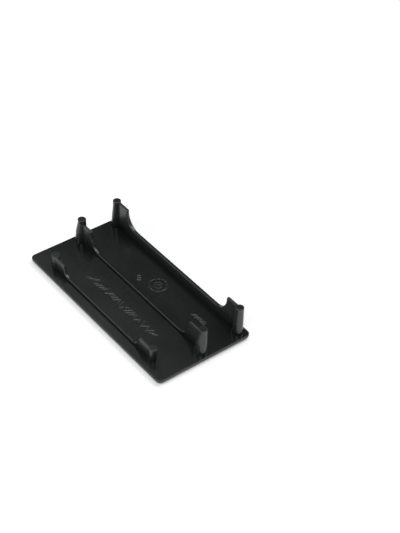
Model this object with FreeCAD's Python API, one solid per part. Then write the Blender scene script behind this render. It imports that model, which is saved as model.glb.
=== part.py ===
import FreeCAD, Part
import math
import os

# Profile end cap, 80 by 40 mm, moulded in one piece
# The cap lies on its show face. Frame: +Z up, +X along the long side, origin at the
# middle of the show face. The plate fills z = 0 to PLATE_T, and everything that goes
# into the end of the profile stands above it. All sizes are in mm, angles in degrees.

V = FreeCAD.Vector

# Plate
LENGTH = 80.0            # along X
WIDTH = 40.0             # along Y
PLATE_T = 2.5            # plate thickness
CORNER_R = 2.0           # plan corner radius
SHOW_EDGE_R = 2.0        # large rounding between the show face and the rim
BACK_EDGE_R = 0.2        # small break on the back edge of the rim

# Three rows across the cap, each a thin rib with a stud at both ends
FAR_STUD_Y = 16.9        # axis of the necks, row with the tall rib
MIDDLE_STUD_Y = 1.05     # row through the middle
NEAR_STUD_Y = -15.0      # row with the short studs
FAR_RIB_Y = 17.0         # middle of each rib's root, which runs a little off its studs
MIDDLE_RIB_Y = 0.7
NEAR_RIB_Y = -15.75

# Studs
LONG_STUD_X = 36.5       # distance of a stud from the middle of the cap, far and middle rows
SHORT_STUD_X = 29.9      # the same in the near row
STUD_TIP_ROUND = 0.25    # rounding of the tip's edge
# Outline of a stud as pairs of depth below the tip and radius there. The first pair is the
# lower end of the straight neck and the last one the plate, so it also gives the height.
FAR_STUD = [(2.3, 1.55), (11.6, 2.0)]
MIDDLE_STUD = [(1.5, 1.6), (5.3, 2.03), (10.1, 2.25)]
NEAR_STUD = [(1.0, 1.5), (5.2, 1.6)]

# Ribs
FAR_RIB_T = 1.6          # rib thickness at the plate
MIDDLE_RIB_T = 1.15
NEAR_RIB_T = 1.3
FAR_RIB_DRAFT = 2.3      # taper of the flank on the near side
MIDDLE_RIB_DRAFT = 1.5
NEAR_RIB_DRAFT = 5.0
BACK_DRAFT = 0.25        # taper of the flank on the far side, nearly upright
RIB_EDGE_R = 0.35        # rounding along the top edges
FAR_RIB_H = 4.0          # rib height between the run-outs
MIDDLE_RIB_H = 0.95
NEAR_RIB_H = 1.05
FAR_TAB_H = 11.2         # height of the tabs, where a rib joins its studs
MIDDLE_TAB_H = 8.6
NEAR_TAB_H = 5.2
LONG_TAB_X = 29.6        # inner edge of a tab from the middle of the cap, far and middle rows
SHORT_TAB_X = 23.0       # the same in the near row
LONG_RUNOUT_R = 6.0      # concave run-out between rib and tab, far and middle rows
SHORT_RUNOUT_R = 3.6     # the same in the near row
TAB_CORNER_R = 0.4       # convex corner at the top of a tab

# Joining
SINK = 0.4               # how far studs and ribs reach into the plate they grow from
SPARE = 1.0              # how far the blank of a rib runs past its finished outline


def plate():
    """Flat plate with rounded plan corners and a large rounding around the show face."""
    slab = Part.makeBox(LENGTH, WIDTH, PLATE_T, V(-LENGTH / 2, -WIDTH / 2, 0))
    upright = [e for e in slab.Edges if e.BoundBox.ZLength > PLATE_T / 2]
    slab = slab.makeFillet(CORNER_R, upright)
    show = [e for e in slab.Edges if e.CenterOfMass.z < PLATE_T * 0.01]
    slab = slab.makeFillet(SHOW_EDGE_R, show)
    back = [e for e in slab.Edges if e.CenterOfMass.z > PLATE_T * 0.99]
    return slab.makeFillet(BACK_EDGE_R, back)


def polar(centre, radius, angle):
    """Point of an upright circle in the XZ plane. Angle 0 is +X and 90 is +Z."""
    a = math.radians(angle)
    return centre + V(radius * math.cos(a), 0, radius * math.sin(a))


def arc_xz(centre, radius, start, end):
    """Arc in the XZ plane between two angles, as an edge."""
    a, b, c = (polar(centre, radius, t) for t in (start, (start + end) / 2, end))
    return Part.Arc(a, b, c).toShape()


def disc(radius, y, z):
    """Level circle about a point above or below the line through the middle of the cap."""
    return Part.Wire(Part.makeCircle(radius, V(0, y, z)))


def stud(x, y, outline):
    """Stud with a straight round neck on a shank that widens downwards.

    The shank stays upright along its far side, and all its taper is on the near side.
    """
    neck_l, neck_r = outline[0]
    height, root_r = outline[-1]
    neck_low = height - neck_l
    above_d, above_r = outline[-2]
    sunk_r = root_r + SINK * (root_r - above_r) / (height - above_d)
    rings = [(height - depth, r) for depth, r in outline[:-1]] + [(-SINK, sunk_r)]
    shank = Part.makeLoft([disc(r, neck_r - r, z) for z, r in rings], True, True)
    neck = Part.makeCylinder(neck_r, neck_l, V(0, 0, neck_low))
    rim = [e for e in neck.Edges if e.BoundBox.ZMin > height - STUD_TIP_ROUND]
    whole = shank.fuse(neck.makeFillet(STUD_TIP_ROUND, rim))
    whole.translate(V(x, y, PLATE_T))
    return whole


def rib_outline(stud_x, tab_x, tab_h, rib_h, runout_r):
    """Side view of one half of a rib: low at the middle, climbing in a concave arc to its tab.

    The arc is tangent to the low edge. It turns upright and runs on up the tab's inner
    edge, or, where the tab is too low for that, it meets the tab's rounded corner first.
    """
    c = TAB_CORNER_R
    turn = 90.0
    rise = tab_h - rib_h
    if rise < runout_r + c:
        turn = math.degrees(math.acos((runout_r + c - rise) / (runout_r + c)))
    run = V(tab_x - runout_r * math.sin(math.radians(turn)), 0, rib_h + runout_r)
    side = polar(run, runout_r, 270 + turn)
    corner = V(side.x + c * math.sin(math.radians(turn)), 0, tab_h - c)
    corner_low = polar(corner, c, 90 + turn)
    edges = [
        Part.makeLine(V(0, 0, -SINK), V(stud_x, 0, -SINK)),
        Part.makeLine(V(stud_x, 0, -SINK), V(stud_x, 0, tab_h)),
        Part.makeLine(V(stud_x, 0, tab_h), V(corner.x, 0, tab_h)),
        arc_xz(corner, c, 90, 90 + turn),
    ]
    if (corner_low - side).Length > Part.Precision.confusion() * 10:
        edges.append(Part.makeLine(corner_low, side))
    edges.append(arc_xz(run, runout_r, 270 + turn, 270))
    edges.append(Part.makeLine(V(run.x, 0, rib_h), V(0, 0, rib_h)))
    edges.append(Part.makeLine(V(0, 0, rib_h), V(0, 0, -SINK)))
    return Part.Face(Part.Wire(edges))


def rib_section(root_t, draft, top):
    """End view of a rib: it tapers on the near side and is nearly upright on the far side."""
    near = math.tan(math.radians(draft))
    far = math.tan(math.radians(BACK_DRAFT))
    points = [
        V(0, -root_t / 2 - SINK * near, -SINK),
        V(0, root_t / 2 + SINK * far, -SINK),
        V(0, root_t / 2 - top * far, top),
        V(0, -root_t / 2 + top * near, top),
    ]
    return Part.Face(Part.makePolygon(points + points[:1]))


def mirror_x(shape):
    """Mirror image of a shape in the plane between the two ends of the cap."""
    return shape.mirror(V(0, 0, 0), V(1, 0, 0))


def rib(y, stud_x, tab_x, tab_h, rib_h, runout_r, root_t, draft):
    """Rib with run-outs: its side view and its end view, each drawn out, and what they share."""
    blank_w = WIDTH / 2
    side = rib_outline(stud_x, tab_x, tab_h, rib_h, runout_r)
    side.translate(V(0, -blank_w / 2, 0))
    side = side.extrude(V(0, blank_w, 0))
    side = side.fuse(mirror_x(side)).removeSplitter()
    bar = rib_section(root_t, draft, tab_h + SPARE)
    bar.translate(V(-stud_x - SPARE, 0, 0))
    bar = bar.extrude(V(2 * (stud_x + SPARE), 0, 0))
    body = side.common(bar).removeSplitter().Solids[0]
    # the top edges run along the rib, well above the plate; those across it stay sharp
    along = [e for e in body.Edges
             if e.BoundBox.YLength < root_t / 2
             and e.BoundBox.XLength > TAB_CORNER_R / 10
             and e.CenterOfMass.z > rib_h / 2]
    body = body.makeFillet(RIB_EDGE_R, along)
    body.translate(V(0, y, PLATE_T))
    return body


# Place and outline of the studs of each row
STUDS = [
    (LONG_STUD_X, FAR_STUD_Y, FAR_STUD),
    (LONG_STUD_X, MIDDLE_STUD_Y, MIDDLE_STUD),
    (SHORT_STUD_X, NEAR_STUD_Y, NEAR_STUD),
]
# Place, stud, tab, rib, run-out and flanks of each rib
RIBS = [
    (FAR_RIB_Y, LONG_STUD_X, LONG_TAB_X, FAR_TAB_H, FAR_RIB_H, LONG_RUNOUT_R,
     FAR_RIB_T, FAR_RIB_DRAFT),
    (MIDDLE_RIB_Y, LONG_STUD_X, LONG_TAB_X, MIDDLE_TAB_H, MIDDLE_RIB_H, LONG_RUNOUT_R,
     MIDDLE_RIB_T, MIDDLE_RIB_DRAFT),
    (NEAR_RIB_Y, SHORT_STUD_X, SHORT_TAB_X, NEAR_TAB_H, NEAR_RIB_H, SHORT_RUNOUT_R,
     NEAR_RIB_T, NEAR_RIB_DRAFT),
]


def end_cap():
    """The whole moulding: plate, three ribs and six studs, fused into one solid."""
    grown = [rib(*row) for row in RIBS]
    for x, y, outline in STUDS:
        left = stud(-x, y, outline)
        grown += [left, mirror_x(left)]
    return plate().fuse(grown).removeSplitter()


cap = end_cap()
os.makedirs("parts", exist_ok=True)
cap.exportStep("parts/end_cap.step")
print("solids", len(cap.Solids), "valid", cap.isValid(), "volume mm3", round(cap.Volume, 1))
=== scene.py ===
# %% [markdown]
# # Profile end cap, lying on its show face
# A small cover for the cut end of an aluminium profile, moulded in one go from black nylon with
# glass fibre in it. It lies with its ribs and studs up. The CAD model gives its shape, and this
# script gives it the camera, the light, the finish and the fine marks of the mould.
# Everything is in metres, in the frame of the CAD model: +X runs along the long side, +Y across,
# +Z up, and the origin is the middle of the show face, which rests on the floor.

# %% Load the frame
import math

import bmesh
import bpy
from mathutils import Matrix, Vector


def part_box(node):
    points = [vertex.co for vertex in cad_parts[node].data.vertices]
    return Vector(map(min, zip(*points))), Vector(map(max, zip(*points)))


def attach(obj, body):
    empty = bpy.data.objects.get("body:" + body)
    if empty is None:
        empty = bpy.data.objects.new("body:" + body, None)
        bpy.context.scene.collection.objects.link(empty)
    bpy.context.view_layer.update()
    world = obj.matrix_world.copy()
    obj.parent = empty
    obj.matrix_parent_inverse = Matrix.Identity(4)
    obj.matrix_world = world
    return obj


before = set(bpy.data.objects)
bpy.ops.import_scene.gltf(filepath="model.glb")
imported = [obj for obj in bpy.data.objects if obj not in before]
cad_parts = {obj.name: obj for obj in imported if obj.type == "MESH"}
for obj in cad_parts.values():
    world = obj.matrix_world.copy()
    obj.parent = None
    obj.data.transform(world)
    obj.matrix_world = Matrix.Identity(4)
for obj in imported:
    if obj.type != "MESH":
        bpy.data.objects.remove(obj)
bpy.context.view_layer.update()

MM = 0.001
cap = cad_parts["end_cap"]
cap_low, cap_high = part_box("end_cap")
print("cap size in mm:", [round(s / MM, 2) for s in (cap_high - cap_low)])

# %% [markdown]
# ## The camera
# The photograph was taken from above a corner of the cap with a long lens, so parallel edges
# draw together only a little. The angles, the distance and the lens were worked out from the
# corners, rib ends and stud tips in the picture. A camera is placed from the point that it aims
# at: the vector `back` leads from there to the lens, and `right` and `up` span the picture.

# %% Place the camera
PICTURE_W, PICTURE_H = 400, 533
SENSOR_MM = 36.0
FOCAL_PX = 1322.22
CAMERA_AZIMUTH = math.radians(50.54)
CAMERA_ELEVATION = math.radians(40.76)
CAMERA_ROLL = math.radians(2.42)
CAMERA_DISTANCE = 490.06 * MM
AIM_POINT = Vector((-0.95, 29.29, 0.0)) * MM


def camera_matrix():
    """Place and turn of a camera that looks at the aim point."""
    flat = math.cos(CAMERA_ELEVATION)
    back = Vector((math.sin(CAMERA_AZIMUTH) * flat, -math.cos(CAMERA_AZIMUTH) * flat,
                   math.sin(CAMERA_ELEVATION)))
    level = Vector((math.cos(CAMERA_AZIMUTH), math.sin(CAMERA_AZIMUTH), 0.0))
    upright = back.cross(level)
    right = level * math.cos(CAMERA_ROLL) + upright * math.sin(CAMERA_ROLL)
    up = back.cross(right)
    turn = Matrix((right, up, back)).transposed().to_4x4()
    return Matrix.Translation(AIM_POINT + back * CAMERA_DISTANCE) @ turn


lens = bpy.data.cameras.new("camera")
lens.sensor_fit = "AUTO"
lens.sensor_width = SENSOR_MM
lens.lens = FOCAL_PX * SENSOR_MM / max(PICTURE_W, PICTURE_H)
camera = bpy.data.objects.new("camera", lens)
camera.matrix_world = camera_matrix()
bpy.context.scene.collection.objects.link(camera)
bpy.context.scene.camera = camera
bpy.context.scene.view_settings.view_transform = "Standard"
print("camera at mm:", [round(c / MM, 1) for c in camera.location], "lens mm:", round(lens.lens, 1))

# %% [markdown]
# ## Small helpers for node trees
# A material, a world, a shader group and a Geometry Nodes tree are all node trees. A few helpers
# keep the cells short: one adds a node, sets its properties and fills its inputs, either with a
# plain value or with the output of another node, and the others make what comes up again.

# %% Helpers for node trees


def fill(tree, socket, value):
    """Joins an output to an input, or gives the input a plain value."""
    if isinstance(value, bpy.types.NodeSocket):
        tree.links.new(value, socket)
    else:
        socket.default_value = value


def add_node(tree, kind, inputs=None, **settings):
    """Adds a node to a tree, sets its properties, and fills the inputs that are given."""
    made = tree.nodes.new(kind)
    for name, value in settings.items():
        setattr(made, name, value)
    for name, value in (inputs or {}).items():
        fill(tree, made.inputs[name], value)
    return made


def computed(tree, operation, first, second):
    """Output of a Math node for two numbers."""
    return add_node(tree, "ShaderNodeMath", {0: first, 1: second}, operation=operation).outputs[0]


def mapped(tree, value, low, high, to_low=0.0, **settings):
    """Output of a Map Range node that goes from to_low to 1 as the value goes from low to high."""
    return add_node(tree, "ShaderNodeMapRange", {
        "Value": value, "From Min": low, "From Max": high, "To Min": to_low}, **settings).outputs[0]


def empty_tree(owner):
    """Empty node tree of a material or a world."""
    owner.use_nodes = True
    owner.node_tree.nodes.clear()
    return owner.node_tree


def new_group(name, kind, inputs, outputs):
    """Makes an empty node group with named sockets, and its input and output nodes."""
    tree = bpy.data.node_groups.new(name, kind)
    for socket, socket_type, default in inputs:
        made = tree.interface.new_socket(socket, in_out="INPUT", socket_type=socket_type)
        if default is not None:
            made.default_value = default
    for socket, socket_type in outputs:
        tree.interface.new_socket(socket, in_out="OUTPUT", socket_type=socket_type)
    return tree, tree.nodes.new("NodeGroupInput"), tree.nodes.new("NodeGroupOutput")


print("helpers for node trees: fill, add_node, computed, mapped, empty_tree, new_group")

# %% [markdown]
# ## The floor and what surrounds it
# The cap lies on a white table that the picture shows as pure white, with a shadow only where
# the rounded rim lifts off the table. The floor is a large pale plane. Stronger lamps would make
# it white, but the cap too bright. Instead, for what the camera and shiny surfaces see, its
# material adds a little light of its own, so it reads as white and still darkens in the shadow.

# %% Make the floor
WHITE = (1.0, 1.0, 1.0, 1.0)
FLOOR_SIZE = 6.0
FLOOR_GAP = 0.01 * MM
FLOOR_COLOUR = (0.86, 0.86, 0.855, 1.0)
FLOOR_ROUGHNESS = 0.9
FLOOR_LIFT = 0.32


def seen_directly(tree):
    """1 for the camera's rays, and 1 for those that a shiny or clear surface sends on, else 0."""
    path = add_node(tree, "ShaderNodeLightPath").outputs
    shiny = computed(tree, "MAXIMUM", path["Is Glossy Ray"], path["Is Transmission Ray"])
    return path["Is Camera Ray"], shiny


def floor_material():
    """Matt white that shines a little of itself into the camera and into shiny surfaces."""
    made = bpy.data.materials.new("white_table")
    tree = empty_tree(made)
    seen = computed(tree, "MAXIMUM", *seen_directly(tree))
    lift = computed(tree, "MULTIPLY", seen, FLOOR_LIFT)
    shader = add_node(tree, "ShaderNodeBsdfPrincipled", {
        "Base Color": FLOOR_COLOUR, "Roughness": FLOOR_ROUGHNESS, "Specular IOR Level": 0.0,
        "Emission Color": WHITE, "Emission Strength": lift})
    add_node(tree, "ShaderNodeOutputMaterial", {"Surface": shader.outputs[0]})
    return made


def make_floor():
    """Square sheet just under the cap."""
    half = FLOOR_SIZE / 2
    corners = [(-half, -half), (half, -half), (half, half), (-half, half)]
    mesh = bpy.data.meshes.new("floor")
    mesh.from_pydata([(x, y, -FLOOR_GAP) for x, y in corners], [], [(0, 1, 2, 3)])
    mesh.materials.append(floor_material())
    made = bpy.data.objects.new("floor", mesh)
    bpy.context.scene.collection.objects.link(made)


make_floor()
print("floor:", FLOOR_SIZE, "m wide,", FLOOR_GAP / MM, "mm under the cap")

# %% [markdown]
# ## The room
# The world is dim for the light that it sends and white for the camera. Shiny surfaces see it
# white only up to about 8 degrees above the table, like a low backdrop, so the top of the plate
# mirrors the dim room above it and stays black. The height of a direction is the Z of its vector.

# %% Make the world
WORLD_LEVEL = 0.045
BACKDROP_TOP = 0.14
backdrop_degrees = math.degrees(math.asin(BACKDROP_TOP))


def make_world():
    """Dim room with a white backdrop around the table."""
    world = bpy.data.worlds.new("studio")
    tree = empty_tree(world)
    camera_ray, shiny_ray = seen_directly(tree)
    direction = add_node(tree, "ShaderNodeTexCoord")
    height = add_node(tree, "ShaderNodeSeparateXYZ", {0: direction.outputs["Generated"]})
    low = computed(tree, "LESS_THAN", height.outputs["Z"], BACKDROP_TOP)
    white = computed(tree, "MAXIMUM", camera_ray, computed(tree, "MULTIPLY", shiny_ray, low))
    light = add_node(tree, "ShaderNodeBackground", {
        "Color": WHITE, "Strength": mapped(tree, white, 0.0, 1.0, WORLD_LEVEL)})
    add_node(tree, "ShaderNodeOutputWorld", {"Surface": light.outputs[0]})
    bpy.context.scene.world = world


make_world()
print("world level:", WORLD_LEVEL, "backdrop up to degrees:", round(backdrop_degrees, 1))

# %% [markdown]
# ## The lamps
# Two soft lamps and two dim white panels light the table. The highlights on the run-outs of the
# ribs show where the first lamp hangs: behind the cap, about 60 degrees up. The second hangs above
# the camera, and in the picture it lights the strokes of the moulded marks that run level. The
# front panel stands low and brightens the upright faces. The side panel draws the thin bright line
# along the top of each rib, and its edge just reaches the left end of the plate. The rest of the
# plate mirrors only the dim room, so it stays black. The level of a lamp is what it adds to a
# white sheet on the table, and with the room's own light they come to about 1.

# %% Hang the lamps


def soft_lamp(name, azimuth, elevation, distance, size, level):
    """Round lamp that points at the cap. Azimuth runs from +X to +Y, level is for a flat sheet."""
    a, e = math.radians(azimuth), math.radians(elevation)
    toward = Vector((math.cos(a) * math.cos(e), math.sin(a) * math.cos(e), math.sin(e)))
    light = bpy.data.lights.new(name, "AREA")
    light.shape = "DISK"
    light.size = size
    light.energy = math.pi ** 2 * distance ** 2 * level / math.sin(e)
    made = bpy.data.objects.new(name, light)
    made.location = toward * distance
    made.rotation_mode = "QUATERNION"
    made.rotation_quaternion = toward.to_track_quat("Z", "Y")
    bpy.context.scene.collection.objects.link(made)
    print(name, "watts:", round(light.energy, 2))


soft_lamp("key_lamp", azimuth=76, elevation=60, distance=0.8, size=0.54, level=0.36)
soft_lamp("fill_lamp", azimuth=-40, elevation=58, distance=1.0, size=0.50, level=0.30)
soft_lamp("front_panel", azimuth=-95, elevation=20, distance=1.0, size=0.7, level=0.14)
soft_lamp("side_panel", azimuth=172, elevation=55, distance=1.0, size=0.62, level=0.145)

# %% [markdown]
# ## The grain of the mould
# The show face and the rim come from a mould that was spark eroded, which leaves a fine even
# grain. It could be a picture wrapped around the part, but a pattern in Object coordinates needs
# no unwrapping and stays on the part. A noise gives the soft bumps and a Voronoi pattern the
# pits between them. A shader group holds both, and the material places it with its own values.

# %% Build the grain
SPECKLE_LOW, SPECKLE_HIGH = 0.35, 0.65


def place_in_mm(tree):
    """Place on the part in millimetres."""
    place = add_node(tree, "ShaderNodeTexCoord")
    return add_node(tree, "ShaderNodeVectorMath", {
        0: place.outputs["Object"], "Scale": 1 / MM}, operation="SCALE").outputs[0]


def spark_grain_group():
    """Fine craters and bumps of a spark-eroded mould, as a height and a speckle between 0 and 1."""
    tree, ins, outs = new_group("spark_grain", "ShaderNodeTree", [
        ("Grain", "NodeSocketFloat", 0.3), ("Pits", "NodeSocketFloat", 0.4)],
        [("Height", "NodeSocketFloat"), ("Speckle", "NodeSocketFloat")])
    pattern = {"Vector": place_in_mm(tree),
               "Scale": computed(tree, "DIVIDE", 1.0, ins.outputs["Grain"])}
    soft = add_node(tree, "ShaderNodeTexNoise", {**pattern, "Detail": 3.0, "Roughness": 0.6})
    pits = add_node(tree, "ShaderNodeTexVoronoi", {**pattern, "Smoothness": 0.4},
                    feature="SMOOTH_F1")
    height = add_node(tree, "ShaderNodeMix", {
        "Factor": ins.outputs["Pits"], "A": soft.outputs["Fac"], "B": pits.outputs["Distance"]},
        data_type="FLOAT").outputs["Result"]
    fill(tree, outs.inputs["Height"], height)
    fill(tree, outs.inputs["Speckle"], mapped(tree, height, SPECKLE_LOW, SPECKLE_HIGH))
    return tree


spark_grain = spark_grain_group()
print("shader group:", spark_grain.name)

# %% [markdown]
# ## Flow marks
# The inner faces come from cutter-smooth steel and are glossier, with faint streaks where the
# melt flowed. A wave pattern would look too regular. They are a noise that is stretched along
# the cap: the place on the part is divided by a length and a width before the noise reads it.

# %% Build the flow marks
CLOUD_LOW, CLOUD_HIGH = 0.3, 0.7


def flow_marks_group():
    """Faint long streaks and clouds of the flowing melt, as a mask between 0 and 1."""
    tree, ins, outs = new_group("flow_marks", "ShaderNodeTree", [
        ("Length", "NodeSocketFloat", 18.0), ("Width", "NodeSocketFloat", 3.0)],
        [("Mask", "NodeSocketFloat")])
    size = add_node(tree, "ShaderNodeCombineXYZ", {
        "X": ins.outputs["Length"], "Y": ins.outputs["Width"], "Z": ins.outputs["Width"]})
    stretched = add_node(tree, "ShaderNodeVectorMath", {
        0: place_in_mm(tree), 1: size.outputs[0]}, operation="DIVIDE")
    clouds = add_node(tree, "ShaderNodeTexNoise", {
        "Vector": stretched.outputs[0], "Scale": 1.0, "Detail": 2.0, "Roughness": 0.45,
        "Distortion": 0.4})
    fill(tree, outs.inputs["Mask"], mapped(tree, clouds.outputs["Fac"], CLOUD_LOW, CLOUD_HIGH))
    return tree


flow_marks = flow_marks_group()
print("shader group:", flow_marks.name)

# %% [markdown]
# ## Where each finish lies
# One material serves the whole moulding. A mask that rises just under the back of the plate
# tells its two finishes apart: grained and duller below, smoother and glossier above. A second
# mask holds painted light: high on the studs and tabs, the upright faces are painted paler, as if
# more light reached them there, and they are also made rougher. It is set from the height and
# from the direction of the face: its Z is 1 on a level face, and from 0.5 down the face counts
# as upright.

# %% Masks of the finishes
GRAIN_TOP, GLOSS_START = 2.30 * MM, 2.45 * MM
# Painted light: from this height up, upright faces are painted paler, as if more light reached
# them.
PAINTED_LIGHT_START, PAINTED_LIGHT_END = 3.0 * MM, 8.0 * MM
LEVEL_FACE, UPRIGHT_FACE = 1.0, 0.5
PAINTED_LIGHT_ON_LEVEL = 0.35


def finish_masks(tree):
    """Masks of the smooth inner faces and of the painted light on high upright faces, 0 to 1."""
    place = add_node(tree, "ShaderNodeTexCoord")
    height = add_node(tree, "ShaderNodeSeparateXYZ", {0: place.outputs["Object"]}).outputs["Z"]
    facing = add_node(tree, "ShaderNodeSeparateXYZ", {0: place.outputs["Normal"]}).outputs["Z"]
    inner = mapped(tree, height, GRAIN_TOP, GLOSS_START, interpolation_type="SMOOTHSTEP")
    # Painted light: the second mask grows with the height and is full on upright faces.
    high = mapped(tree, height, PAINTED_LIGHT_START, PAINTED_LIGHT_END)
    upright = mapped(tree, facing, LEVEL_FACE, UPRIGHT_FACE, PAINTED_LIGHT_ON_LEVEL)
    return inner, computed(tree, "MULTIPLY", high, upright)


print("smooth above mm:", round(GLOSS_START / MM, 2), "fibre from mm:", round(PAINTED_LIGHT_START / MM, 2))

# %% [markdown]
# ## Colour and roughness
# Both wander a little, with the speckle of the grain on the show face and with the flow marks on
# the inner faces. So one helper serves both: it mixes two values for the show face, two for the
# inner faces and one for the painted light on high upright faces, and the masks say which of them
# counts. A Mix node holds the sockets of every kind of value, so they are picked by identifier.

# %% Helpers that mix by the masks
SHOW_COLOURS = (0.0165, 0.0172, 0.0172, 1.0), (0.0255, 0.0266, 0.0266, 1.0)
INNER_COLOURS = (0.0075, 0.0097, 0.0089, 1.0), (0.0103, 0.0126, 0.0118, 1.0)
# Painted light: the paler colour of the high upright faces stands in for light that reaches them.
PAINTED_LIGHT_COLOUR = (0.0246, 0.0280, 0.0268, 1.0)
SHOW_ROUGHNESS = 0.58, 0.46
INNER_ROUGHNESS = 0.18, 0.21
HIGH_UPRIGHT_ROUGHNESS = 0.30
MIX_SOCKETS = {"RGBA": "_Color", "FLOAT": "_Float"}


def mixed(tree, data_type, factor, low, high):
    """Output of a Mix node between two values or sockets."""
    made = add_node(tree, "ShaderNodeMix", data_type=data_type)
    kind = MIX_SOCKETS[data_type]
    sockets = {s.identifier: s for s in made.inputs}
    fill(tree, sockets["Factor_Float"], factor)
    fill(tree, sockets["A" + kind], low)
    fill(tree, sockets["B" + kind], high)
    return next(s for s in made.outputs if s.identifier == "Result" + kind)


def by_finish(tree, data_type, masks, wander, show, inside, painted_light):
    """A colour or a number over the whole part, by its inner mask and its painted-light mask.

    It wanders with the speckle on the show face and with the flow marks on the inner faces.
    """
    inner_mask, painted_light_mask = masks
    speckle, flow = wander
    show_value = mixed(tree, data_type, speckle, *show)
    plate_value = mixed(tree, data_type, flow, *inside)
    # Here the painted light on the high upright faces is mixed in.
    inner_value = mixed(tree, data_type, painted_light_mask, plate_value, painted_light)
    return mixed(tree, data_type, inner_mask, show_value, inner_value)


print("roughness: show face", SHOW_ROUGHNESS, "inner faces", INNER_ROUGHNESS)

# %% [markdown]
# ## Black plastic
# The grain and a much larger, flatter waviness of the inner skin go through a Bump node, whose
# depth falls on the inner faces, and break up the light. The colour and roughness come from the
# helper above. The cap keeps its CAD shape and takes the material into its slots.

# %% Build the black plastic
SHOW_GRAIN = {"Grain": 0.28, "Pits": 0.45}
INNER_SKIN = {"Grain": 1.4, "Pits": 0.0}
FLOW_SIZE = {"Length": 26.0, "Width": 9.0}
BUMP_DEPTH = 0.022 * MM
INNER_BUMP = 0.12
PLASTIC_IOR = 1.55


def black_plastic_material():
    """Glass-filled black nylon with a grained show face and smooth inner faces."""
    made = bpy.data.materials.new("black_plastic")
    tree = empty_tree(made)
    # The second mask is painted light on the high upright faces: paler colour and more roughness.
    inner, painted_light = finish_masks(tree)
    grain = add_node(tree, "ShaderNodeGroup", SHOW_GRAIN, node_tree=spark_grain)
    skin = add_node(tree, "ShaderNodeGroup", INNER_SKIN, node_tree=spark_grain)
    flow = add_node(tree, "ShaderNodeGroup", FLOW_SIZE, node_tree=flow_marks)
    masks, wander = (inner, painted_light), (grain.outputs["Speckle"], flow.outputs["Mask"])
    colour = by_finish(tree, "RGBA", masks, wander, SHOW_COLOURS, INNER_COLOURS, PAINTED_LIGHT_COLOUR)
    roughness = by_finish(tree, "FLOAT", masks, wander,
                          SHOW_ROUGHNESS, INNER_ROUGHNESS, HIGH_UPRIGHT_ROUGHNESS)
    relief = mixed(tree, "FLOAT", inner, grain.outputs["Height"], skin.outputs["Height"])
    depth = mixed(tree, "FLOAT", inner, 1.0, INNER_BUMP)
    bump = add_node(tree, "ShaderNodeBump", {
        "Strength": 1.0, "Distance": BUMP_DEPTH,
        "Height": computed(tree, "MULTIPLY", relief, depth)})
    shader = add_node(tree, "ShaderNodeBsdfPrincipled", {
        "Base Color": colour, "Roughness": roughness, "Metallic": 0.0, "IOR": PLASTIC_IOR,
        "Normal": bump.outputs["Normal"]})
    add_node(tree, "ShaderNodeOutputMaterial", {"Surface": shader.outputs[0]})
    return made


black_plastic = black_plastic_material()
for material_slot in cap.material_slots:
    material_slot.material = black_plastic
print("cap faces:", len(cap.data.polygons), "slots:", len(cap.material_slots))

# %% [markdown]
# ## The raised marks: one rounded stroke
# On the back of the plate the mould leaves small raised marks: rows of short strokes and a round
# date mark. A stroke is a low, broad ridge with a rounded top, as an engraver's cutter leaves it
# in the steel. It could be a strip laid on the plate, but that would have open or upright edges.
# Here it is a round rod that lies so deep in the plate that only its top looks out: the rod is
# closed, and its flanks leave the plate at a shallow angle that catches the light.

# %% Build the stroke
PLATE_TOP = 2.5 * MM
STROKE_SIDES = 28


def sunk(tree, rod, relief, radius):
    """Lowers a rod that lies at height 0 so far that its top stands at the relief."""
    drop = computed(tree, "SUBTRACT", relief, radius)
    down = add_node(tree, "ShaderNodeCombineXYZ", {"Z": drop})
    return add_node(tree, "GeometryNodeTransform", {
        "Geometry": rod, "Translation": down.outputs[0]}).outputs["Geometry"]


def rod_profile(tree, radius):
    """Circle that is swept along a line to make a rod."""
    return add_node(tree, "GeometryNodeCurvePrimitiveCircle", {
        "Resolution": STROKE_SIDES, "Radius": radius}).outputs["Curve"]


def rounded_stroke_tree():
    """Rod of length 1 along Y, whose top is the relief above its origin."""
    tree, ins, outs = new_group("rounded_stroke", "GeometryNodeTree", [
        ("Radius", "NodeSocketFloat", 0.45 * MM), ("Relief", "NodeSocketFloat", 0.15 * MM)],
        [("Geometry", "NodeSocketGeometry")])
    radius, relief = ins.outputs["Radius"], ins.outputs["Relief"]
    spine = add_node(tree, "GeometryNodeCurvePrimitiveLine", {
        "Start": (0.0, -0.5, 0.0), "End": (0.0, 0.5, 0.0)})
    rod = add_node(tree, "GeometryNodeCurveToMesh", {
        "Curve": spine.outputs["Curve"], "Profile Curve": rod_profile(tree, radius),
        "Fill Caps": True})
    fill(tree, outs.inputs["Geometry"], sunk(tree, rod.outputs["Mesh"], relief, radius))
    return tree


rounded_stroke = rounded_stroke_tree()
print("stroke tree:", rounded_stroke.name, "sides:", STROKE_SIDES)

# %% [markdown]
# ## How the strokes of a row differ
# The strokes slant across the row, and a few cross the other way. They differ in length, and a
# short one sits anywhere within the height of the row. So the row has an irregular rhythm and
# spells nothing. Random Value nodes draw a number for each point from a seed. The seed is shifted
# for the length and for the place across the row, so that they don't follow the lean.

# %% Helpers for the strokes of a row
CROSSING_LEAN = -0.6
LENGTH_SEED, SIDE_SEED = 7.0, 19.0


def random_number(tree, low, high, seed):
    """A number for each point. The node's inputs 2 and 3 and its output 1 are those for numbers."""
    return add_node(tree, "FunctionNodeRandomValue", {
        2: low, 3: high, "Seed": seed}, data_type="FLOAT").outputs[1]


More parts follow.
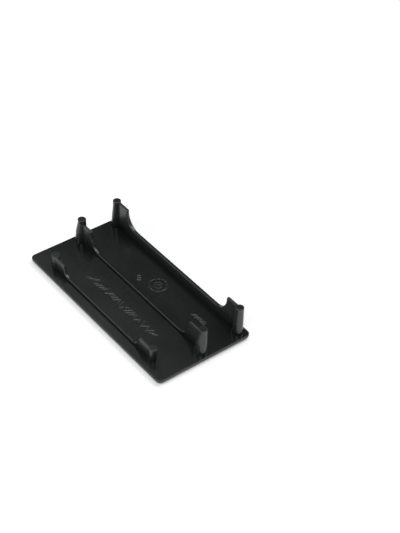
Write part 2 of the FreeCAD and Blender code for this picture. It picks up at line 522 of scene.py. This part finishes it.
def stroke_turn(tree, ins, across):
    """Turn of each stroke: the row's direction, and then its lean."""
    slant, spread, seed = (ins.outputs[name] for name in ("Slant", "Spread", "Seed"))
    lean = random_number(tree, computed(tree, "SUBTRACT", slant, spread),
                         computed(tree, "ADD", slant, spread), seed)
    crosses = add_node(tree, "FunctionNodeRandomValue", {
        "Probability": ins.outputs["Crossing"], "Seed": seed}, data_type="BOOLEAN")
    way = add_node(tree, "GeometryNodeSwitch", {
        "Switch": crosses.outputs[3], "False": 1.0, "True": CROSSING_LEAN}, input_type="FLOAT")
    turn = add_node(tree, "ShaderNodeCombineXYZ", {
        "Z": computed(tree, "MULTIPLY", lean, way.outputs[0])})
    return add_node(tree, "FunctionNodeRotateRotation", {
        "Rotation": across, "Rotate By": turn.outputs[0]},
        rotation_space="LOCAL").outputs["Rotation"]


def stroke_length(tree, ins, across):
    """Length of each stroke, and its shift across the row."""
    height, seed = ins.outputs["Height"], ins.outputs["Seed"]
    share = random_number(tree, ins.outputs["Shortest"], 1.0,
                          computed(tree, "ADD", seed, LENGTH_SEED))
    length = computed(tree, "MULTIPLY", height, share)
    side = random_number(tree, -0.5, 0.5, computed(tree, "ADD", seed, SIDE_SEED))
    spare = computed(tree, "SUBTRACT", height, length)
    shift = add_node(tree, "ShaderNodeCombineXYZ", {"Y": computed(tree, "MULTIPLY", spare, side)})
    row_shift = add_node(tree, "FunctionNodeRotateVector", {
        "Vector": shift.outputs[0], "Rotation": across})
    return length, row_shift.outputs[0]


print("a crossing stroke leans", CROSSING_LEAN, "times as far")

# %% [markdown]
# ## The rows of marks
# A row is a line of points with a stroke on each. A loop could place the strokes one by one, but
# a Geometry Nodes tree keeps the rule in one place and makes every row. The start, end, count and
# sizes are its inputs, and a fixed seed keeps the row the same in every render.
# The strokes are instances up to the end of the tree, where they are made real and get their
# material, because the export drops instances.

# %% Build the tree for a row


def placed_strokes(tree, points, rotation, length, radius, relief):
    """A rounded stroke of the given length on each point."""
    stroke = add_node(tree, "GeometryNodeGroup", {"Radius": radius, "Relief": relief},
                      node_tree=rounded_stroke)
    size = add_node(tree, "ShaderNodeCombineXYZ", {"X": 1.0, "Y": length, "Z": 1.0})
    return add_node(tree, "GeometryNodeInstanceOnPoints", {
        "Points": points, "Instance": stroke.outputs["Geometry"], "Rotation": rotation,
        "Scale": size.outputs[0]}).outputs["Instances"]


def end_tree(tree, geometry, ins, outs):
    """Makes instances real, sets the material, and puts out the result."""
    real = add_node(tree, "GeometryNodeRealizeInstances", {"Geometry": geometry})
    finish = add_node(tree, "GeometryNodeSetMaterial", {
        "Geometry": real.outputs["Geometry"], "Material": ins.outputs["Material"]})
    fill(tree, outs.inputs["Geometry"], finish.outputs["Geometry"])


def mark_row_tree():
    """Row of strokes from a start to an end point."""
    tree, ins, outs = new_group("mark_row", "GeometryNodeTree", [
        ("Start", "NodeSocketVector", None), ("End", "NodeSocketVector", None),
        ("Count", "NodeSocketInt", 10), ("Height", "NodeSocketFloat", 2.5 * MM),
        ("Radius", "NodeSocketFloat", 0.45 * MM), ("Relief", "NodeSocketFloat", 0.15 * MM),
        ("Slant", "NodeSocketFloat", 0.0), ("Spread", "NodeSocketFloat", 0.2),
        ("Crossing", "NodeSocketFloat", 0.3), ("Shortest", "NodeSocketFloat", 0.5),
        ("Seed", "NodeSocketInt", 1), ("Material", "NodeSocketMaterial", None)],
        [("Geometry", "NodeSocketGeometry")])
    start, end = ins.outputs["Start"], ins.outputs["End"]
    line = add_node(tree, "GeometryNodeMeshLine", {
        "Count": ins.outputs["Count"], "Start Location": start, "Offset": end}, mode="END_POINTS")
    along = add_node(tree, "ShaderNodeVectorMath", {0: end, 1: start}, operation="SUBTRACT")
    across = add_node(tree, "FunctionNodeAlignRotationToVector", {"Vector": along.outputs[0]},
                      axis="X").outputs["Rotation"]
    length, row_shift = stroke_length(tree, ins, across)
    points = add_node(tree, "GeometryNodeSetPosition", {
        "Geometry": line.outputs["Mesh"], "Offset": row_shift})
    strokes = placed_strokes(tree, points.outputs["Geometry"], stroke_turn(tree, ins, across),
                             length, ins.outputs["Radius"], ins.outputs["Relief"])
    end_tree(tree, strokes, ins, outs)
    return tree


mark_row = mark_row_tree()
print("row tree inputs:", [s.name for s in mark_row.interface.items_tree if s.in_out == "INPUT"])

# %% [markdown]
# ## From a tree to a plain piece
# A modifier carries the tree. Its inputs are set by the identifier of each socket, before the
# object is first evaluated. The evaluated result is then copied into a plain mesh, smoothed along
# its ridges, and the modifier goes, so the piece is only a mesh.

# %% Helpers that bake a tree and clean a piece
SMOOTH_DEGREES = 50
MERGE_DISTANCE = 0.0005 * MM


def baked(name, tree, values):
    """Runs a Geometry Nodes tree on an empty mesh and returns an object with the plain result."""
    made = bpy.data.objects.new(name, bpy.data.meshes.new(name))
    bpy.context.scene.collection.objects.link(made)
    modifier = made.modifiers.new("shape", "NODES")
    modifier.node_group = tree
    for item in tree.interface.items_tree:
        if item.in_out == "INPUT" and item.name in values:
            modifier[item.identifier] = values[item.name]
    made.data.update()
    depsgraph = bpy.context.evaluated_depsgraph_get()
    result = bpy.data.meshes.new_from_object(made.evaluated_get(depsgraph))
    made.modifiers.clear()
    made.data = result
    return made


def tidy_shell(mesh):
    """Merges doubled points, turns the faces outwards and smooths all but the sharp edges."""
    shell = bmesh.new()
    shell.from_mesh(mesh)
    bmesh.ops.remove_doubles(shell, verts=shell.verts, dist=MERGE_DISTANCE)
    bmesh.ops.recalc_face_normals(shell, faces=shell.faces)
    open_edges = sum(1 for edge in shell.edges if len(edge.link_faces) != 2)
    shell.to_mesh(mesh)
    shell.free()
    mesh.shade_smooth()
    mesh.set_sharp_from_angle(angle=math.radians(SMOOTH_DEGREES))
    return open_edges


def finish_mark(made):
    """Cleans a mark, gives it the plastic, and lets it ride on the cap."""
    open_edges = tidy_shell(made.data)
    made.data.materials.clear()
    made.data.materials.append(black_plastic)
    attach(made, "root")
    print(made.name, "faces:", len(made.data.polygons), "open edges:", open_edges)


print("edges of more than", SMOOTH_DEGREES, "degrees stay sharp")

# %% [markdown]
# ## Three rows on the back of the plate
# The long row runs between the near and the middle rib. A mark of three short strokes and one of
# eight longer ones lie beyond the middle rib, either side of the round date mark. Places and
# heights are in millimetres, the slant and its spread in degrees.

# %% Make the rows
ROWS = {
    "long_mark_row": {"Start": (-17.5, -7.9), "End": (20.7, -7.6), "Count": 28, "Height": 3.4,
                      "Slant": -40, "Spread": 7, "Crossing": 0.3, "Shortest": 0.35, "Seed": 8},
    "small_mark": {"Start": (-7.9, 6.45), "End": (-5.9, 5.1), "Count": 3, "Height": 1.6,
                   "Slant": -5.5, "Spread": 0, "Crossing": 0.0, "Shortest": 0.9, "Seed": 2},
    "end_mark": {"Start": (20.6, 10.0), "End": (26.6, 9.6), "Count": 8, "Height": 2.4,
                 "Slant": -36, "Spread": 8, "Crossing": 0.3, "Shortest": 0.6, "Seed": 5},
}
MARK_RADIUS, MARK_RELIEF = 0.42 * MM, 0.19 * MM


def make_row(name, row):
    """Bakes one row from its values and finishes it as a mark."""
    values = {**row, "Radius": MARK_RADIUS, "Relief": MARK_RELIEF, "Material": black_plastic,
              "Height": row["Height"] * MM}
    for angle in ("Slant", "Spread"):
        values[angle] = math.radians(row[angle])
    for end in ("Start", "End"):
        values[end] = (row[end][0] * MM, row[end][1] * MM, PLATE_TOP)
    finish_mark(baked(name, mark_row, values))


for row_name, row_values in ROWS.items():
    make_row(row_name, row_values)

# %% [markdown]
# ## The date dial
# Moulders often set a small steel dial into the mould, with the months around it and an arrow
# that they turn, and its image comes out raised on every part. A torus could be a ring, but here
# the profile of the strokes is swept around two circles, so all the marks have round tops alike.
# A tick is a short stroke on each of twelve points.

# %% Build the rings and ticks of the dial
DIAL_CENTRE = (0.5, 8.9)
DIAL_R, DIAL_HUB_R = 3.4, 1.6
TICK_R, TICK_LENGTH = 3.05, 0.4
RING_ROD_R, RING_RELIEF = 0.32, 0.12
RING_STEPS = 72
MONTHS = 12


def dial_ring(tree, ins, radius):
    """Round rod on a circle, sunk like the strokes."""
    circle = add_node(tree, "GeometryNodeCurvePrimitiveCircle", {
        "Resolution": RING_STEPS, "Radius": radius})
    rod_r = ins.outputs["Rod Radius"]
    ring = add_node(tree, "GeometryNodeCurveToMesh", {
        "Curve": circle.outputs["Curve"], "Profile Curve": rod_profile(tree, rod_r)})
    return sunk(tree, ring.outputs["Mesh"], ins.outputs["Relief"], rod_r)


def dial_ticks(tree, ins):
    """Short strokes that point outwards from the points of a circle."""
    places = add_node(tree, "GeometryNodeMeshCircle", {
        "Vertices": ins.outputs["Ticks"], "Radius": ins.outputs["Tick Radius"]})
    here = tree.nodes.new("GeometryNodeInputPosition")
    outward = add_node(tree, "FunctionNodeAlignRotationToVector", {"Vector": here.outputs[0]},
                       axis="Y")
    return placed_strokes(tree, places.outputs["Mesh"], outward.outputs["Rotation"],
                          ins.outputs["Tick Length"], ins.outputs["Rod Radius"],
                          ins.outputs["Relief"])


def dial_tree():
    """Two rings and their ticks around a centre."""
    tree, ins, outs = new_group("date_dial", "GeometryNodeTree", [
        ("Centre", "NodeSocketVector", None), ("Outer Radius", "NodeSocketFloat", DIAL_R * MM),
        ("Hub Radius", "NodeSocketFloat", DIAL_HUB_R * MM),
        ("Tick Radius", "NodeSocketFloat", TICK_R * MM), ("Ticks", "NodeSocketInt", MONTHS),
        ("Tick Length", "NodeSocketFloat", TICK_LENGTH * MM),
        ("Rod Radius", "NodeSocketFloat", RING_ROD_R * MM),
        ("Relief", "NodeSocketFloat", RING_RELIEF * MM),
        ("Material", "NodeSocketMaterial", None)],
        [("Geometry", "NodeSocketGeometry")])
    parts = tree.nodes.new("GeometryNodeJoinGeometry")
    for radius in ("Outer Radius", "Hub Radius"):
        fill(tree, parts.inputs["Geometry"], dial_ring(tree, ins, ins.outputs[radius]))
    fill(tree, parts.inputs["Geometry"], dial_ticks(tree, ins))
    moved = add_node(tree, "GeometryNodeTransform", {
        "Geometry": parts.outputs["Geometry"], "Translation": ins.outputs["Centre"]})
    end_tree(tree, moved.outputs["Geometry"], ins, outs)
    return tree


DIAL_PLACE = Vector((DIAL_CENTRE[0] * MM, DIAL_CENTRE[1] * MM, PLATE_TOP))
finish_mark(baked("date_dial", dial_tree(), {
    "Centre": tuple(DIAL_PLACE), "Material": black_plastic}))

# %% [markdown]
# ## The arrow and the numbers of the dial
# The arrow is a poly curve with a round bevel. Its line lies in the back of the plate, so half of
# the bevel stands out. The numbers are text with a small extrusion that stands as high. Both are
# drawn in millimetres, made into meshes, and only then scaled and put in place, because curves
# this small in metres would lose their fine points.

# %% Make the arrow
ARROW_TURN = math.radians(-40)
ARROW_PATHS = [[(0.0, -1.15), (0.0, 1.15)], [(-0.5, 0.5), (0.0, 1.15), (0.5, 0.5)]]
LINE_WIDTH = 0.3
DIAL_RELIEF = LINE_WIDTH / 2
LINE_STEPS = 2


def plain_object(name, data):
    """Makes a curve or a text into an object with a plain mesh."""
    drawn = bpy.data.objects.new(name + "_drawn", data)
    bpy.context.scene.collection.objects.link(drawn)
    depsgraph = bpy.context.evaluated_depsgraph_get()
    mesh = bpy.data.meshes.new_from_object(drawn.evaluated_get(depsgraph))
    bpy.data.objects.remove(drawn)
    made = bpy.data.objects.new(name, mesh)
    bpy.context.scene.collection.objects.link(made)
    return made


def on_dial(turn):
    """From millimetres around the dial's centre, turned about it, to metres on the cap."""
    return (Matrix.Translation(DIAL_PLACE) @ Matrix.Rotation(turn, 4, "Z")
            @ Matrix.Scale(MM, 4))


def dial_arrow():
    """Arrow of two lines, one of them bent into the tip."""
    curve = bpy.data.curves.new("dial_arrow", "CURVE")
    curve.dimensions = "3D"
    curve.bevel_depth = DIAL_RELIEF
    curve.bevel_resolution = LINE_STEPS
    curve.use_fill_caps = True
    for path in ARROW_PATHS:
        spline = curve.splines.new("POLY")
        spline.points.add(len(path) - 1)
        for point, (x, y) in zip(spline.points, path):
            point.co = (x, y, 0.0, 1.0)
    made = plain_object("dial_arrow", curve)
    made.data.transform(on_dial(ARROW_TURN))
    return made


finish_mark(dial_arrow())

# %% [markdown]
# ## The numbers
# Each number is a text of its own, set upright at the top of the dial and then turned to its
# month, so all of them read from the middle. They are joined into one piece.

# %% Make the numbers
NUMBER_R, NUMBER_SIZE = 2.3, 0.95
NUMBER_STEPS = 3


def dial_numbers():
    """The months 1 to 12 around the dial, as one mesh."""
    merged = bpy.data.meshes.new("dial_numbers")
    shell = bmesh.new()
    for month in range(1, MONTHS + 1):
        text = bpy.data.curves.new("number", "FONT")
        text.body = str(month)
        text.align_x, text.align_y = "CENTER", "CENTER"
        text.size = NUMBER_SIZE
        text.extrude = DIAL_RELIEF
        text.resolution_u = NUMBER_STEPS
        number = plain_object("number_%d" % month, text)
        turn = -2 * math.pi * month / MONTHS
        number.data.transform(on_dial(turn) @ Matrix.Translation((0.0, NUMBER_R, 0.0)))
        shell.from_mesh(number.data)
        bpy.data.objects.remove(number)
    shell.to_mesh(merged)
    shell.free()
    made = bpy.data.objects.new("dial_numbers", merged)
    bpy.context.scene.collection.objects.link(made)
    return made


finish_mark(dial_numbers())
